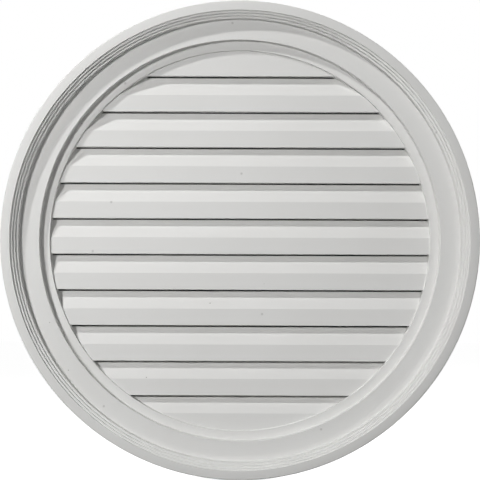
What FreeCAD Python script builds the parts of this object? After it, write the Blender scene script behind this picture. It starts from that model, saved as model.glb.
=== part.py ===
import FreeCAD, Part
import math
import operator
import os
import Sketcher

# Round louvred gable vent, one moulding: a stepped ring, a flat head panel, slanted slats and a sill.
# The ring's axis is the Y axis, its flat back lies at y = 0, the front faces -Y and +Z is up.

NODE = "gable_vent"

# Driving dimensions in millimetres. Radial ones run inward from the rim, and rises are measured along Y.
DRIVING = {
    "outer_diameter": 558.8,  # ring, at its back edge
    "projection": 50.8,  # crest of the ring above the back
    "ring_width": 56.2,  # back edge of the ring to the louvre opening
    "rim_draft": 0.8,  # lean of the outer wall, back to front
    "rim_width": 11.6,  # back edge of the ring to the crest
    "rim_fall": 0.6,  # fall of the rim's face from the crest to the outer wall
    "rim_round": 1.2,
    "step_rise": 3.2,
    "step_lean": 0.15,
    "step_tread": 2.78,
    "foot_lean": 0.3,  # tall riser from the last tread to the flat band
    "inner_rise": 9.7,  # flat band above the inner band
    "inner_lean": 0.3,
    "lip_width": 10.9,  # inner band
    "lip_rise": 2.8,  # inner band above the slats' front faces
    "lip_lean": 0.5,
    "wall_lean": 0.5,  # wall of the opening, slat fronts to back
    "louvre_depth": 20.2,  # slats' front faces above the back
    "seat_depth": 5.0,  # slat ends moulded into the ring
    "pitch": 41.87,
    "closing_pitch": 40.36,  # last slat and sill, which stand a little closer
    "head_height": 30.5,  # head panel at the middle, opening to lower edge
    "face_height": 19.4,  # upright front face of a slat
    "crease_round": 1.0,
    "slope_rise": 37.5,  # slope of a slat, from its crease to the back
    "edge_round": 0.5,  # lower front edge of a slat
    "under_fall": 0.4,  # fall of a slat's underside towards the back
    "slot_height": 8.0,  # air slot where it leaves the back
}


class Size:
    # A length held as a number, for the first drawing, and as the sheet formula that drives it.
    def __init__(self, number, formula):
        self.number = number
        self.formula = formula

    def joined(self, sign, action, other):
        if not isinstance(other, Size):
            other = Size(other, str(other))
        return Size(action(self.number, other.number), f"({self.formula} {sign} {other.formula})")

    def __add__(self, other):
        return self.joined("+", operator.add, other)

    def __sub__(self, other):
        return self.joined("-", operator.sub, other)

    def __mul__(self, other):
        return self.joined("*", operator.mul, other)

    def __truediv__(self, other):
        return self.joined("/", operator.truediv, other)

    def __neg__(self):
        return Size(-self.number, f"(-{self.formula})")


class Corner:
    # A corner of an outline; a coordinate of None lies on the sketch's axis.
    def __init__(self, name, across, up, rounding=None):
        self.name = name
        self.across = across
        self.up = up
        self.rounding = rounding

    def point(self):
        across = self.across.number if self.across else 0.0
        up = self.up.number if self.up else 0.0
        return FreeCAD.Vector(across, up, 0)


def make_sheet(doc):
    sheet = doc.addObject("Spreadsheet::Sheet", "Sizes")
    for row, (alias, value) in enumerate(DRIVING.items(), start=1):
        sheet.set(f"A{row}", str(value))
        sheet.setAlias(f"A{row}", alias)
    doc.recompute()
    return {alias: Size(getattr(sheet, alias), f"Sizes.{alias}") for alias in DRIVING}


def origin_item(body, role):
    return next(item for item in body.Origin.OriginFeatures if item.Role == role)


def new_sketch(body, role, name):
    sketch = body.newObject("Sketcher::SketchObject", name)
    sketch.AttachmentSupport = (origin_item(body, role), [""])
    sketch.MapMode = "FlatFace"
    return sketch


def drive(sketch, name, constraint, size):
    index = sketch.addConstraint(constraint)
    sketch.renameConstraint(index, name)
    sketch.setExpression(f"Constraints.{name}", size.formula)


def place_corner(sketch, corner, item, end):
    # Holds one point of the sketch at the corner's driven place.
    horizontal_axis, vertical_axis = -1, -2
    if corner.across:
        across = Sketcher.Constraint("DistanceX", -1, 1, item, end, corner.across.number)
        drive(sketch, corner.name + "_across", across, corner.across)
    else:
        sketch.addConstraint(Sketcher.Constraint("PointOnObject", item, end, vertical_axis))
    if corner.up:
        up = Sketcher.Constraint("DistanceY", -1, 1, item, end, corner.up.number)
        drive(sketch, corner.name + "_up", up, corner.up)
    else:
        sketch.addConstraint(Sketcher.Constraint("PointOnObject", item, end, horizontal_axis))


def round_arc(before, corner, after, radius):
    # Arc that touches both sides of a corner, with True where it turns anticlockwise.
    back = (before - corner).normalize()
    ahead = (after - corner).normalize()
    half = back.getAngle(ahead) / 2
    centre = corner + (back + ahead).normalize() * (radius / math.sin(half))
    first = corner + back * (radius / math.tan(half)) - centre
    last = corner + ahead * (radius / math.tan(half)) - centre
    anticlockwise = first.cross(last).z > 0
    begin, end = (first, last) if anticlockwise else (last, first)
    circle = Part.Circle(centre, FreeCAD.Vector(0, 0, 1), radius)
    arc = Part.ArcOfCircle(circle, math.atan2(begin.y, begin.x), math.atan2(end.y, end.x))
    return arc, anticlockwise


def draw_outline(sketch, corners):
    # Closed outline through the corners in turn, with an arc at each rounded one.
    points = [corner.point() for corner in corners]
    following = points[1:] + points[:1]
    sides = [sketch.addGeometry(Part.LineSegment(*ends)) for ends in zip(points, following)]
    for turn, corner in enumerate(corners):
        arriving, leaving = sides[turn - 1], sides[turn]
        if corner.rounding is None:
            sketch.addConstraint(Sketcher.Constraint("Coincident", arriving, 2, leaving, 1))
            place_corner(sketch, corner, leaving, 1)
            continue
        shape, anticlockwise = round_arc(points[turn - 1], points[turn], following[turn], corner.rounding.number)
        arc = sketch.addGeometry(shape)
        near, far = (1, 2) if anticlockwise else (2, 1)
        mark = sketch.addGeometry(Part.Point(points[turn]), True)
        sketch.addConstraint(Sketcher.Constraint("PointOnObject", mark, 1, arriving))
        sketch.addConstraint(Sketcher.Constraint("PointOnObject", mark, 1, leaving))
        place_corner(sketch, corner, mark, 1)
        sketch.addConstraint(Sketcher.Constraint("Tangent", arriving, 2, arc, near))
        sketch.addConstraint(Sketcher.Constraint("Tangent", arc, far, leaving, 1))
        radius = Sketcher.Constraint("Radius", arc, corner.rounding.number)
        drive(sketch, corner.name + "_round", radius, corner.rounding)


def bar(body, sketch, name, half_length):
    # A profile run level across the vent, as far to each side.
    pad = body.newObject("PartDesign::Pad", name)
    pad.Profile = sketch
    pad.SideType = "Symmetric"
    pad.setExpression("Length", (half_length * 2).formula)
    return pad


def lathe(body, sketch, kind, name):
    # A profile turned, or cut, a full turn about the ring's axis.
    turned = body.newObject("PartDesign::" + kind, name)
    turned.Profile = sketch
    turned.ReferenceAxis = (origin_item(body, "Y_Axis"), [""])
    turned.Angle = 360
    return turned


def slat_outline(s, lower_edge):
    # Upright face, slope to the back, rear face parallel to the slope and a falling underside.
    front = -s["louvre_depth"]
    crease = lower_edge + s["face_height"]
    top = crease + s["slope_rise"]
    return [
        Corner("edge", front, lower_edge, s["edge_round"]),
        Corner("drip", *drip_corner(s, lower_edge)),
        Corner("rear", None, top - s["pitch"] + s["slot_height"]),
        Corner("top", None, top),
        Corner("crease", front, crease, s["crease_round"]),
    ]


def drip_corner(s, lower_edge):
    # Lowest edge behind the front face, on the rear face that keeps the air slot's width.
    level = lower_edge - s["under_fall"]
    rear_height = s["face_height"] + s["slope_rise"] + s["slot_height"] + s["under_fall"] - s["pitch"]
    return -(rear_height * s["louvre_depth"] / s["slope_rise"]), level


def head_outline(s, lower_edge, seat_radius):
    # Flat panel over the first slot, with a slat's underside and rear face.
    front = -s["louvre_depth"]
    rear = lower_edge + s["face_height"] + s["slope_rise"] + s["slot_height"] - s["pitch"]
    return [
        Corner("edge", front, lower_edge, s["edge_round"]),
        Corner("drip", *drip_corner(s, lower_edge)),
        Corner("rear", None, rear),
        Corner("back", None, seat_radius),
        Corner("front", front, seat_radius),
    ]


def sill_outline(s, lower_edge, seat_radius):
    # Lowest slat, solid down to its seat in the ring.
    front = -s["louvre_depth"]
    crease = lower_edge + s["face_height"]
    return [
        Corner("front", front, -seat_radius),
        Corner("back", None, -seat_radius),
        Corner("top", None, crease + s["slope_rise"]),
        Corner("crease", front, crease, s["crease_round"]),
    ]


def trim_outline(s, seat_radius):
    # Everything of the slats that lies beyond their seat in the ring.
    margin = s["seat_depth"]
    reach = seat_radius * 2
    front = -(s["louvre_depth"] + margin)
    return [
        Corner("inner_front", seat_radius, front),
        Corner("outer_front", reach, front),
        Corner("outer_back", reach, margin),
        Corner("inner_back", seat_radius, margin),
    ]


def ring_outline(s, opening):
    # Section of the ring from its back edge over the crest and down the steps to the opening.
    outer = s["outer_diameter"] / 2
    rim_level = s["projection"] - s["rim_fall"]
    lip_level = s["louvre_depth"] + s["lip_rise"]
    band_level = lip_level + s["inner_rise"]
    lip_edge = opening + s["lip_lean"]
    inner_foot = lip_edge + s["lip_width"]
    corners = [
        Corner("back_edge", outer, None),
        Corner("rim", outer - s["rim_draft"], -rim_level, s["rim_round"]),
        Corner("crest", outer - s["rim_width"], -s["projection"]),
    ]
    radius = outer - s["rim_width"]
    level = s["projection"]
    for step in ("first", "second", "third"):
        radius = radius - s["step_lean"]
        level = level - s["step_rise"]
        corners.append(Corner(step + "_foot", radius, -level))
        radius = radius - s["step_tread"]
        corners.append(Corner(step + "_edge", radius, -level))
    corners += [
        Corner("band_foot", radius - s["foot_lean"], -band_level),
        Corner("band_edge", inner_foot + s["inner_lean"], -band_level),
        Corner("lip_foot", inner_foot, -lip_level),
        Corner("lip_edge", lip_edge, -lip_level),
        Corner("wall_front", opening, -s["louvre_depth"]),
        Corner("wall_back", opening - s["wall_lean"], None),
    ]
    return corners


def make_vent(doc, s):
    opening = s["outer_diameter"] / 2 - s["ring_width"]
    seat_radius = opening + s["seat_depth"]
    head_edge = opening - s["head_height"]
    pitches = (head_edge + opening) / s["pitch"]
    regular_count = Size(math.ceil(pitches.number), f"ceil({pitches.formula})") - 2
    last_edge = head_edge - regular_count * s["pitch"] - s["closing_pitch"]

    body = doc.addObject("PartDesign::Body", "GableVent")
    body.Label = NODE
    body.AllowCompound = True

    slat_sketch = new_sketch(body, "YZ_Plane", "SlatProfile")
    draw_outline(slat_sketch, slat_outline(s, head_edge - s["pitch"]))
    slat = bar(body, slat_sketch, "Slat", seat_radius)
    doc.recompute()

    slats = body.newObject("PartDesign::LinearPattern", "Slats")
    slats.Originals = [slat]
    slats.Direction = (slat_sketch, ["V_Axis"])
    slats.Reversed = True
    slats.Mode = "Spacing"
    slats.setExpression("Offset", s["pitch"].formula)
    slats.setExpression("Occurrences", regular_count.formula)
    body.Tip = slats
    doc.recompute()

    last_sketch = new_sketch(body, "YZ_Plane", "LastSlatProfile")
    draw_outline(last_sketch, slat_outline(s, last_edge))
    bar(body, last_sketch, "LastSlat", seat_radius)
    head_sketch = new_sketch(body, "YZ_Plane", "HeadProfile")
    draw_outline(head_sketch, head_outline(s, head_edge, seat_radius))
    bar(body, head_sketch, "Head", seat_radius)
    sill_sketch = new_sketch(body, "YZ_Plane", "SillProfile")
    draw_outline(sill_sketch, sill_outline(s, last_edge - s["closing_pitch"], seat_radius))
    bar(body, sill_sketch, "Sill", seat_radius)
    doc.recompute()
    untrimmed = body.Shape.Volume

    trim_sketch = new_sketch(body, "XY_Plane", "TrimProfile")
    draw_outline(trim_sketch, trim_outline(s, seat_radius))
    lathe(body, trim_sketch, "Groove", "Trim")
    doc.recompute()
    if not body.Shape.Volume < untrimmed:
        raise RuntimeError("the trim cut nothing off the slats")

    ring_sketch = new_sketch(body, "XY_Plane", "RingProfile")
    draw_outline(ring_sketch, ring_outline(s, opening))
    lathe(body, ring_sketch, "Revolution", "Ring")
    doc.recompute()
    return body


def check(doc, body):
    for item in doc.Objects:
        if "Invalid" in item.State or "Error" in item.State:
            raise RuntimeError(f"{item.Label} failed: {item.State}")
    if body.Shape.isNull() or not body.Shape.isValid():
        raise RuntimeError(f"{body.Label} has no valid shape")
    if len(body.Shape.Solids) != 1:
        raise RuntimeError(f"{body.Label} is {len(body.Shape.Solids)} solids")


def main():
    os.makedirs("parts", exist_ok=True)
    doc = FreeCAD.newDocument("GableVentModel")
    sizes = make_sheet(doc)
    vent = make_vent(doc, sizes)
    check(doc, vent)
    vent.Shape.exportStep(f"parts/{vent.Label}.step")
    print(f"{vent.Label}: {vent.Shape.Volume / 1e6:.2f} litres, {len(vent.Shape.Faces)} faces")


main()
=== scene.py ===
import math

import bpy
import numpy as np
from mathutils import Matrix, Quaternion, Vector


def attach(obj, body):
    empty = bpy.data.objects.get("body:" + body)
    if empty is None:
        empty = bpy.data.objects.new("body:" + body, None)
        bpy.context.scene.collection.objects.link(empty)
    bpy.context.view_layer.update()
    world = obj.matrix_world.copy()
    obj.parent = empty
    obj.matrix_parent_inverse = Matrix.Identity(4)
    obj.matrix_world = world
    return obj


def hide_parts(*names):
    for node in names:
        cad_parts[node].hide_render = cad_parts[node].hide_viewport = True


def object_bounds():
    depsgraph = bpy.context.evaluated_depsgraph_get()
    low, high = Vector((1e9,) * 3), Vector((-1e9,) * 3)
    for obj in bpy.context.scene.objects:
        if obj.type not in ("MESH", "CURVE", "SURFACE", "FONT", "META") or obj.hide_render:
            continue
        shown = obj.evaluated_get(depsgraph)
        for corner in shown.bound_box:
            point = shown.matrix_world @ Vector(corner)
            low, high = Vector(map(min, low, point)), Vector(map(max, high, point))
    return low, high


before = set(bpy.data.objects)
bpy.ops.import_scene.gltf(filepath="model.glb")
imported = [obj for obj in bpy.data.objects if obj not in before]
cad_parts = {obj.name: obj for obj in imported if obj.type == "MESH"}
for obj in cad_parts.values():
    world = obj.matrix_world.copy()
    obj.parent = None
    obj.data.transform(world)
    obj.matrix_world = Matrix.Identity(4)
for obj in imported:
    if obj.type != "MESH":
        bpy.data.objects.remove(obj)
cadLow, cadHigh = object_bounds()
print("frame loaded, box", [round(v, 4) for v in (*cadLow, *cadHigh)])

# One moulding: the ring is a section turned about the Y axis, the louvres are sections run along X.
# Metres throughout, back at y = 0, front towards -Y, up is +Z.
outerRadius = (cadHigh.x - cadLow.x) / 2
projection = -cadLow.y

ring = {
    "width": 0.0566,  # back edge to the louvre opening
    "draft": 0.0008,  # lean of the outer wall
    "rimWidth": 0.0116,  # back edge to the crest
    "rimFall": 0.0006,
    "rimBend": 0.5,  # share of the rim, from the crest, that is nearly level
    "bendFall": 0.2,  # share of the fall that it takes
    "steps": 3,
    "stepRise": 0.0032,
    "stepLean": 0.0004,
    "stepTread": 0.00253,
    "footLean": 0.0010,  # of the riser from the last step to the band
    "innerRise": 0.0097,  # from the band to the inner tread
    "innerLean": 0.0011,
    "lipWidth": 0.0105,
    "lipRise": 0.0028,
    "lipLean": 0.0006,
    "wallLean": 0.0005,
    "segments": 384,
    "backRound": 0.0008,
    "rimRound": 0.0012,
    "bendRound": 0.08,
    "edgeRound": 0.00015,
    "footRound": 0.0003,
}

louvre = {
    "depth": 0.0202,  # front faces above the back
    "pitch": 0.04187,
    "closingPitch": 0.04036,  # last slat and sill, which stand a little closer
    "headHeight": 0.0295,
    "faceHeight": 0.0194,
    "slopeRise": 0.0375,
    "underFall": 0.0004,
    "slotHeight": 0.008,
    "seat": 0.004,  # bar ends run this far into the ring
    "creaseRound": 0.001,
    "edgeRound": 0.0004,
    "backRound": 0.0005,
    "stations": 9,
}

arcSteps = 6  # points on each rounded corner
support = 0.0003  # flat kept beside each rounded corner, so that flat faces shade flat
sharpAngle = math.radians(30)


def roundedLoop(corners, radii):
    # Closed outline with every corner turned into an arc. From a corner p with unit directions a and b to
    # its neighbours and half angle h, the arc's centre is p + (a + b) / |a + b| * r / sin h, and it touches
    # the sides at p + a * r / tan h and p + b * r / tan h.
    p = np.asarray(corners, float)
    r = np.asarray(radii, float)[:, None]
    a = np.roll(p, 1, axis=0) - p
    b = np.roll(p, -1, axis=0) - p
    a /= np.linalg.norm(a, axis=1, keepdims=True)
    b /= np.linalg.norm(b, axis=1, keepdims=True)
    half = np.arccos(np.clip((a * b).sum(1, keepdims=True), -1, 1)) / 2
    reach = r / np.tan(half)
    middle = a + b
    centre = p + middle / np.linalg.norm(middle, axis=1, keepdims=True) * r / np.sin(half)
    first = p + a * reach - centre
    last = p + b * reach - centre
    sweep = np.pi - 2 * half
    t = np.linspace(0, 1, arcSteps)[None, :, None]
    arc = (np.sin((1 - t) * sweep[:, None]) * first[:, None] + np.sin(t * sweep[:, None]) * last[:, None])
    arc = centre[:, None] + arc / np.sin(sweep)[:, None]
    before = (p + a * (reach + support))[:, None]
    after = (p + b * (reach + support))[:, None]
    return np.concatenate([before, arc, after], axis=1).reshape(-1, 2)


def gridFaces(rows, columns, wrapRows):
    # Quads of a grid whose columns close on themselves, and whose rows do too where wrapRows says so.
    i = np.arange(rows if wrapRows else rows - 1)[:, None]
    j = np.arange(columns)[None, :]
    k = (j + 1) % columns
    n = (i + 1) % rows
    corners = [i * columns + j, i * columns + k, n * columns + k, n * columns + j]
    return np.stack(corners, axis=-1).reshape(-1, 4)


def putMesh(name, points, faces):
    mesh = bpy.data.meshes.new(name)
    mesh.from_pydata(points.reshape(-1, 3).tolist(), [], [list(face) for face in faces])
    mesh.update()
    piece = bpy.data.objects.new(name, mesh)
    bpy.context.scene.collection.objects.link(piece)
    return piece


def ringSection():
    # Corners (radius, y, rounding) from the back edge over the crest and down the steps to the opening.
    opening = outerRadius - ring["width"]
    lipLevel = louvre["depth"] + ring["lipRise"]
    bandLevel = lipLevel + ring["innerRise"]
    lipEdge = opening + ring["lipLean"]
    innerFoot = lipEdge + ring["lipWidth"]
    crest = outerRadius - ring["rimWidth"]
    rimReach = ring["rimWidth"] - ring["draft"]
    bendLevel = projection - ring["bendFall"] * ring["rimFall"]
    step = ring["stepLean"] + ring["stepTread"]
    lastStep = crest - ring["steps"] * step
    edge, foot, back = ring["edgeRound"], ring["footRound"], ring["backRound"]
    corners = [
        (outerRadius, 0.0, back),
        (outerRadius - ring["draft"], -(projection - ring["rimFall"]), ring["rimRound"]),
        (crest + ring["rimBend"] * rimReach, -bendLevel, ring["bendRound"]),
        (crest, -projection, edge),
    ]
    for turn in range(1, ring["steps"] + 1):
        level = -(projection - turn * ring["stepRise"])
        corners.append((crest - turn * step + ring["stepTread"], level, edge))
        corners.append((crest - turn * step, level, edge))
    corners += [
        (lastStep - ring["footLean"], -bandLevel, foot),
        (innerFoot + ring["innerLean"], -bandLevel, edge),
        (innerFoot, -lipLevel, foot),
        (lipEdge, -lipLevel, edge),
        (opening, -louvre["depth"], edge),
        (opening - ring["wallLean"], 0.0, back),
    ]
    return np.array(corners)


def turnedRing():
    # Point (angle, i) = (radius_i cos angle, y_i, radius_i sin angle) for the section's point i.
    section = ringSection()
    loop = roundedLoop(section[:, :2], section[:, 2])
    angle = np.linspace(0, 2 * np.pi, ring["segments"], endpoint=False)[:, None]
    radius, depth = loop[None, :, 0], loop[None, :, 1]
    points = np.stack([radius * np.cos(angle), depth + 0 * angle, radius * np.sin(angle)], axis=-1)
    return putMesh("ringShell", points, gridFaces(ring["segments"], len(loop), True))


def slatSection(lower):
    # Corners (y, z): upright face, falling underside, rear face parallel to the slope, slope.
    crease = lower + louvre["faceHeight"]
    top = crease + louvre["slopeRise"]
    rear = top - louvre["pitch"] + louvre["slotHeight"]
    drip = lower - louvre["underFall"]
    dripDepth = (rear - drip) * louvre["depth"] / louvre["slopeRise"]
    edge, back = louvre["edgeRound"], louvre["backRound"]
    return np.array([
        (-louvre["depth"], lower, edge),
        (-dripDepth, drip, edge),
        (0.0, rear, back),
        (0.0, top, back),
        (-louvre["depth"], crease, louvre["creaseRound"]),
    ])


def headSection(lower, top):
    # A slat's underside and rear face below, and a plain panel above them.
    section = slatSection(lower)
    section[3:, 1] = top
    section[4, 2] = louvre["backRound"]
    return section


def sillSection(lower, bottom):
    # A slat's slope and face, solid down into the ring.
    crease = lower + louvre["faceHeight"]
    back = louvre["backRound"]
    return np.array([
        (-louvre["depth"], bottom, back),
        (0.0, bottom, back),
        (0.0, crease + louvre["slopeRise"], back),
        (-louvre["depth"], crease, louvre["creaseRound"]),
    ])


def runBar(name, section, opening):
    # Point (u, i) = (u * reach, y_i, z_i), u from -1 to 1, where reach passes the opening by the seat.
    loop = roundedLoop(section[:, :2], section[:, 2])
    nearest = np.abs(section[:, 1]).min()
    reach = math.sqrt(opening ** 2 - nearest ** 2) + louvre["seat"]
    u = np.linspace(-1, 1, louvre["stations"])[:, None]
    depth = loop[None, :, 0] + 0 * u
    height = loop[None, :, 1] + 0 * u
    points = np.stack([u * reach + 0 * depth, depth, height], axis=-1)
    faces = gridFaces(louvre["stations"], len(loop), False).tolist()
    lastRow = (louvre["stations"] - 1) * len(loop)
    faces.append(list(range(len(loop)))[::-1])
    faces.append(list(range(lastRow, lastRow + len(loop))))
    return putMesh(name, points, faces)


def louvreBars():
    opening = outerRadius - ring["width"]
    headEdge = opening - louvre["headHeight"]
    regular = math.ceil((headEdge + opening) / louvre["pitch"]) - 2
    lowerEdges = headEdge - louvre["pitch"] * np.arange(1, regular + 1)
    lastEdge = lowerEdges[-1] - louvre["closingPitch"]
    buried = opening + louvre["seat"]
    bars = [runBar("headBar", headSection(headEdge, buried), opening)]
    for lower in [*lowerEdges, lastEdge]:
        bars.append(runBar("slatBar", slatSection(lower), opening))
    bars.append(runBar("sillBar", sillSection(lastEdge - louvre["closingPitch"], -buried), opening))
    return bars


def outward(piece):
    # Turns the faces so that the enclosed volume is positive: a sixth of the sum of a . (b x c) over the
    # triangles with corners a, b and c.
    mesh = piece.data
    mesh.calc_loop_triangles()
    corners = np.empty(len(mesh.loop_triangles) * 3, np.int32)
    mesh.loop_triangles.foreach_get("vertices", corners)
    co = np.empty(len(mesh.vertices) * 3)
    mesh.vertices.foreach_get("co", co)
    a, b, c = co.reshape(-1, 3)[corners.reshape(-1, 3)].transpose(1, 0, 2)
    if (a * np.cross(b, c)).sum() < 0:
        mesh.flip_normals()
    return piece


def fuse(base, others):
    # The bars become part of the ring, as in the mould.
    for other in others:
        union = base.modifiers.new("fuse", "BOOLEAN")
        union.operation = "UNION"
        union.solver = "MANIFOLD"
        union.object = other
    graph = bpy.context.evaluated_depsgraph_get()
    fused = bpy.data.meshes.new_from_object(base.evaluated_get(graph))
    base.modifiers.clear()
    base.data = fused
    for other in others:
        bpy.data.objects.remove(other)
    return base


primer = {
    "white": (0.78, 0.778, 0.763, 1),
    "shade": (0.756, 0.753, 0.736, 1),
    "toneScale": 9.0,  # patches per metre of the two whites
    "toneDetail": 5.0,
    "toneFrom": 0.35,
    "toneFull": 0.75,
    "roughness": 0.55,
    "specular": 0.12,
    "slotShade": (0.03, 0.029, 0.028, 1),  # painted shade inside the air slots, for their deep shadow
    "slotShadeFrom": 0.0093,  # above the back, where the painted shade starts on the slopes
    "slotShadeFull": 0.0088,
    "slotShadeMargin": 0.001,  # kept clear of the ring
    "backFacing": 0.95,
    "speck": (0.20, 0.19, 0.175, 1),
    "pinholes": 30.0,  # cells per metre, each with one hole somewhere inside
    "pinholeSize": 0.022,  # share of a cell
    "pinholeCore": 0.5,
    "marks": [  # (x, z) of the grey flecks on the front
        (-0.0097, 0.2545), (-0.1356, 0.1842), (-0.1515, 0.0446), (0.2282, 0.1262), (0.0015, 0.0786),
        (-0.1583, -0.1944), (0.0262, -0.0864), (0.0954, -0.2204), (-0.173, -0.0132),
    ],
    "markSize": 0.0020,
    "markCore": 0.3,  # share of the size that has the full tone
    "markTone": 0.30,
    "peel": 420.0,  # bumps per metre of the sprayed coat
    "peelHeight": 0.00003,
    "wave": 26.0,
    "waveHeight": 0.0001,
}


def addNode(tree, kind, **values):
    node = tree.nodes.new(kind)
    for name, value in values.items():
        setattr(node, name, value)
    return node


def paintSlotShade(tree, place, colour):
    # Painted shade: near-black on the rear of the slopes and on the slots behind them, inside the opening,
    # for the deep shadow in the slots. The flat back, where the true normal points along +Y, keeps the
    # white coat.
    axes = addNode(tree, "ShaderNodeSeparateXYZ")
    across = addNode(tree, "ShaderNodeCombineXYZ")
    radius = addNode(tree, "ShaderNodeVectorMath", operation="LENGTH")
    inside = addNode(tree, "ShaderNodeMath", operation="LESS_THAN")
    inside.inputs[1].default_value = outerRadius - ring["width"] - primer["slotShadeMargin"]
    deep = addNode(tree, "ShaderNodeMapRange")
    deep.inputs["From Min"].default_value = -primer["slotShadeFrom"]
    deep.inputs["From Max"].default_value = -primer["slotShadeFull"]
    facing = addNode(tree, "ShaderNodeNewGeometry")
    facingAxes = addNode(tree, "ShaderNodeSeparateXYZ")
    notBack = addNode(tree, "ShaderNodeMath", operation="LESS_THAN")
    notBack.inputs[1].default_value = primer["backFacing"]
    recessed = addNode(tree, "ShaderNodeMath", operation="MULTIPLY")
    slotInside = addNode(tree, "ShaderNodeMath", operation="MULTIPLY")
    slotShade = addNode(tree, "ShaderNodeMix", data_type="RGBA")
    slotShade.inputs["B"].default_value = primer["slotShade"]
    tree.links.new(place.outputs["Object"], axes.inputs[0])
    tree.links.new(axes.outputs["X"], across.inputs["X"])
    tree.links.new(axes.outputs["Z"], across.inputs["Z"])
    tree.links.new(across.outputs[0], radius.inputs[0])
    tree.links.new(radius.outputs["Value"], inside.inputs[0])
    tree.links.new(axes.outputs["Y"], deep.inputs["Value"])
    tree.links.new(facing.outputs["True Normal"], facingAxes.inputs[0])
    tree.links.new(facingAxes.outputs["Y"], notBack.inputs[0])
    tree.links.new(inside.outputs[0], recessed.inputs[0])
    tree.links.new(deep.outputs["Result"], recessed.inputs[1])
    tree.links.new(recessed.outputs[0], slotInside.inputs[0])
    tree.links.new(notBack.outputs[0], slotInside.inputs[1])
    tree.links.new(slotInside.outputs[0], slotShade.inputs["Factor"])
    tree.links.new(colour, slotShade.inputs["A"])
    return slotShade.outputs["Result"]


def flecks(tree, place, colour):
    # Grey flecks seen from the front: the full tone near each place (x, z), nothing beyond the mark's size.
    level = addNode(tree, "ShaderNodeVectorMath", operation="MULTIPLY")
    level.inputs[1].default_value = (1, 0, 1)
    tree.links.new(place.outputs["Object"], level.inputs[0])
    strongest = None
    for x, z in primer["marks"]:
        gap = addNode(tree, "ShaderNodeVectorMath", operation="DISTANCE")
        gap.inputs[1].default_value = (x, 0, z)
        near = addNode(tree, "ShaderNodeMapRange", interpolation_type="SMOOTHSTEP")
        near.inputs["From Min"].default_value = primer["markSize"]
        near.inputs["From Max"].default_value = primer["markSize"] * primer["markCore"]
        near.inputs["To Max"].default_value = primer["markTone"]
        tree.links.new(level.outputs[0], gap.inputs[0])
        tree.links.new(gap.outputs["Value"], near.inputs["Value"])
        if strongest is None:
            strongest = near.outputs["Result"]
        else:
            larger = addNode(tree, "ShaderNodeMath", operation="MAXIMUM")
            tree.links.new(strongest, larger.inputs[0])
            tree.links.new(near.outputs["Result"], larger.inputs[1])
            strongest = larger.outputs[0]
    fleck = addNode(tree, "ShaderNodeMix", data_type="RGBA")
    fleck.inputs["B"].default_value = primer["speck"]
    tree.links.new(strongest, fleck.inputs["Factor"])
    tree.links.new(colour, fleck.inputs["A"])
    return fleck.outputs["Result"]


def tonePatches(tree, place):
    # Two whites that drift into each other over a hand's breadth.
    tone = addNode(tree, "ShaderNodeTexNoise")
    tone.inputs["Scale"].default_value = primer["toneScale"]
    tone.inputs["Detail"].default_value = primer["toneDetail"]
    ramp = addNode(tree, "ShaderNodeMapRange")
    ramp.inputs["From Min"].default_value = primer["toneFrom"]
    ramp.inputs["From Max"].default_value = primer["toneFull"]
    coat = addNode(tree, "ShaderNodeMix", data_type="RGBA")
    coat.inputs["A"].default_value = primer["white"]
    coat.inputs["B"].default_value = primer["shade"]
    tree.links.new(place.outputs["Object"], tone.inputs["Vector"])
    tree.links.new(tone.outputs["Fac"], ramp.inputs["Value"])
    tree.links.new(ramp.outputs["Result"], coat.inputs["Factor"])
    return coat.outputs["Result"]


def pinholes(tree, place, colour):
    # A dark dot at the middle of each Voronoi cell that the surface passes close to.
    holes = addNode(tree, "ShaderNodeTexVoronoi")
    holes.inputs["Scale"].default_value = primer["pinholes"]
    dot = addNode(tree, "ShaderNodeMapRange", interpolation_type="SMOOTHSTEP")
    dot.inputs["From Min"].default_value = primer["pinholeSize"]
    dot.inputs["From Max"].default_value = primer["pinholeSize"] * primer["pinholeCore"]
    speck = addNode(tree, "ShaderNodeMix", data_type="RGBA")
    speck.inputs["B"].default_value = primer["speck"]
    tree.links.new(place.outputs["Object"], holes.inputs["Vector"])
    tree.links.new(holes.outputs["Distance"], dot.inputs["Value"])
    tree.links.new(dot.outputs["Result"], speck.inputs["Factor"])
    tree.links.new(colour, speck.inputs["A"])
    return speck.outputs["Result"]


def sprayedSurface(tree, place):
    # Orange peel on top of a slow waviness.
    normal = None
    for name in ("wave", "peel"):
        noise = addNode(tree, "ShaderNodeTexNoise")
        noise.inputs["Scale"].default_value = primer[name]
        bump = addNode(tree, "ShaderNodeBump")
        bump.inputs["Distance"].default_value = primer[name + "Height"]
        tree.links.new(place.outputs["Object"], noise.inputs["Vector"])
        tree.links.new(noise.outputs["Fac"], bump.inputs["Height"])
        if normal is not None:
            tree.links.new(normal, bump.inputs["Normal"])
        normal = bump.outputs["Normal"]
    return normal


def primedUrethane():
    # Sprayed white primer over the moulding, with painted shade in the air slots and what stuck to it.
    material = bpy.data.materials.new("primedUrethane")
    material.use_nodes = True
    tree = material.node_tree
    shader = tree.nodes["Principled BSDF"]
    shader.inputs["Roughness"].default_value = primer["roughness"]
    shader.inputs["Specular IOR Level"].default_value = primer["specular"]
    place = addNode(tree, "ShaderNodeTexCoord")
    colour = tonePatches(tree, place)
    # painted shade in the air slots
    colour = paintSlotShade(tree, place, colour)
    colour = pinholes(tree, place, colour)
    colour = flecks(tree, place, colour)
    tree.links.new(colour, shader.inputs["Base Color"])
    tree.links.new(sprayedSurface(tree, place), shader.inputs["Normal"])
    return material


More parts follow.
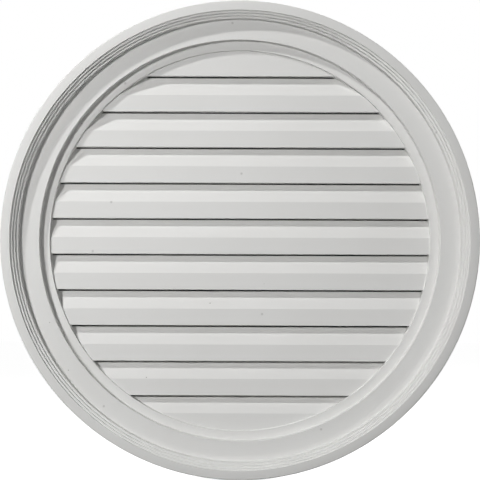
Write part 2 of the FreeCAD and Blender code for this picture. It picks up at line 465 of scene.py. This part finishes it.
ringShell = outward(turnedRing())
print("ring turned,", len(ringShell.data.vertices), "points")
bars = [outward(bar) for bar in louvreBars()]
print("louvres run,", len(bars), "bars")
vent = fuse(ringShell, bars)
vent.name = "gableVentMoulding"
vent.data.name = "gableVentMoulding"
vent.data.polygons.foreach_set("use_smooth", np.ones(len(vent.data.polygons), bool))
vent.data.set_sharp_from_angle(angle=sharpAngle)
vent.data.materials.clear()
vent.data.materials.append(primedUrethane())
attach(vent, "root")
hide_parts("gable_vent")
vent.data.calc_loop_triangles()
print("moulding made,", len(vent.data.loop_triangles), "triangles")

studio = {
    "floorSize": 12.0,
    "floorColour": (0.86, 0.86, 0.86, 1),
    "floorBounce": (0.05, 0.05, 0.05, 1),  # what the floor gives back to the vent
    "floorGlow": 0.985,  # seen by the camera only, so that the floor reads as white
    # Each lamp's aim is its brightest spot, so that the light falls off to the lower right.
    "keyPlace": (-2.737, -2.711, 3.558),
    "keyAim": (-0.15, -0.05, 0.25),
    "keySize": 0.28,
    "keySpread": 40.0,
    "keyPower": 5.85,
    "fillPlace": (-1.52, -2.6, 0.48),
    "fillAim": (-0.25, -0.03, 0.1),
    "fillSize": 0.17,
    "fillSpread": 58.0,
    "fillPower": 4.15,
    "cardPlace": (0.57, -1.6, 0.28),
    "cardAim": (-0.2, -0.03, 0.1),
    "cardSize": 0.1,
    "cardSpread": 95.0,
    "cardPower": 1.13,
    "rearPlace": (1.8, 2.0, 0.45),  # behind the vent, for its back and right edge only
    "rearAim": (0.0, 0.0, 0.0),
    "rearSize": 0.6,
    "rearSpread": 60.0,
    "rearPower": 8.0,
}


def seenDirectly(tree):
    # 1 for what the camera, a reflection or glass shows, 0 for light that falls on surfaces.
    path = addNode(tree, "ShaderNodeLightPath")
    either = addNode(tree, "ShaderNodeMath", operation="MAXIMUM")
    anyOf = addNode(tree, "ShaderNodeMath", operation="MAXIMUM")
    tree.links.new(path.outputs["Is Camera Ray"], either.inputs[0])
    tree.links.new(path.outputs["Is Glossy Ray"], either.inputs[1])
    tree.links.new(either.outputs[0], anyOf.inputs[0])
    tree.links.new(path.outputs["Is Transmission Ray"], anyOf.inputs[1])
    return anyOf.outputs[0]


def paleFloor():
    # A square at the height of the vent's lowest point, from a 2 x 2 grid of corners.
    half = studio["floorSize"] / 2
    u, v = np.meshgrid([-half, half], [-half, half])
    points = np.stack([u, v, np.full_like(u, cadLow.z)], axis=-1)
    floor = putMesh("paleFloor", points, [[0, 1, 3, 2]])
    material = bpy.data.materials.new("paleFloor")
    material.use_nodes = True
    tree = material.node_tree
    tree.nodes.remove(tree.nodes["Principled BSDF"])
    seen = seenDirectly(tree)
    matt = addNode(tree, "ShaderNodeBsdfDiffuse")
    tint = addNode(tree, "ShaderNodeMix", data_type="RGBA")
    tint.inputs["A"].default_value = studio["floorBounce"]
    tint.inputs["B"].default_value = studio["floorColour"]
    glow = addNode(tree, "ShaderNodeEmission")
    level = addNode(tree, "ShaderNodeMath", operation="MULTIPLY")
    level.inputs[1].default_value = studio["floorGlow"]
    both = addNode(tree, "ShaderNodeAddShader")
    tree.links.new(seen, tint.inputs["Factor"])
    tree.links.new(tint.outputs["Result"], matt.inputs["Color"])
    tree.links.new(seen, level.inputs[0])
    tree.links.new(level.outputs[0], glow.inputs["Strength"])
    tree.links.new(matt.outputs[0], both.inputs[0])
    tree.links.new(glow.outputs[0], both.inputs[1])
    tree.links.new(both.outputs[0], tree.nodes["Material Output"].inputs["Surface"])
    floor.data.materials.append(material)


def whiteWorld():
    # White where it is seen, and no light of its own.
    world = bpy.data.worlds.new("whiteWorld")
    world.use_nodes = True
    tree = world.node_tree
    background = tree.nodes["Background"]
    background.inputs["Color"].default_value = (1, 1, 1, 1)
    tree.links.new(seenDirectly(tree), background.inputs["Strength"])
    bpy.context.scene.world = world


def studioLamp(name):
    # A round lamp that looks at the aim.
    place = Vector(studio[name + "Place"])
    lamp = bpy.data.lights.new(name, "AREA")
    lamp.shape = "DISK"
    lamp.size = studio[name + "Size"]
    lamp.energy = studio[name + "Power"]
    lamp.spread = math.radians(studio[name + "Spread"])
    holder = bpy.data.objects.new(name, lamp)
    holder.location = place
    holder.rotation_euler = (place - Vector(studio[name + "Aim"])).to_track_quat("Z", "Y").to_euler()
    bpy.context.scene.collection.objects.link(holder)


view = {
    "azimuth": 0.0,
    "elevation": -1.2,
    "roll": 0.2,
    "distance": 2.5,  # to the crest of the ring
    "across": 0.5572,  # width of the picture at the crest
    "middle": -0.00015,  # height of the picture's middle
    "sensor": 36.0,  # millimetres
    "reach": 100.0,
}


def frontCamera():
    # On the ring's axis but for small turns about the middle of the crest.
    target = Vector((0, -projection, view["middle"]))
    turn, rise = math.radians(view["azimuth"]), math.radians(view["elevation"])
    back = Vector((math.sin(turn) * math.cos(rise), -math.cos(turn) * math.cos(rise), math.sin(rise)))
    camera = bpy.data.cameras.new("frontCamera")
    camera.sensor_width = view["sensor"]
    camera.lens = camera.sensor_width * view["distance"] / view["across"]
    camera.clip_end = view["reach"]
    holder = bpy.data.objects.new("frontCamera", camera)
    holder.location = target + back * view["distance"]
    facing = back.to_track_quat("Z", "Y") @ Quaternion((0, 0, 1), math.radians(view["roll"]))
    holder.rotation_euler = facing.to_euler()
    bpy.context.scene.collection.objects.link(holder)
    bpy.context.scene.camera = holder


paleFloor()
whiteWorld()
for lampName in ("key", "fill", "card", "rear"):
    studioLamp(lampName)
frontCamera()
bpy.context.scene.view_settings.view_transform = "Standard"
print("studio set")
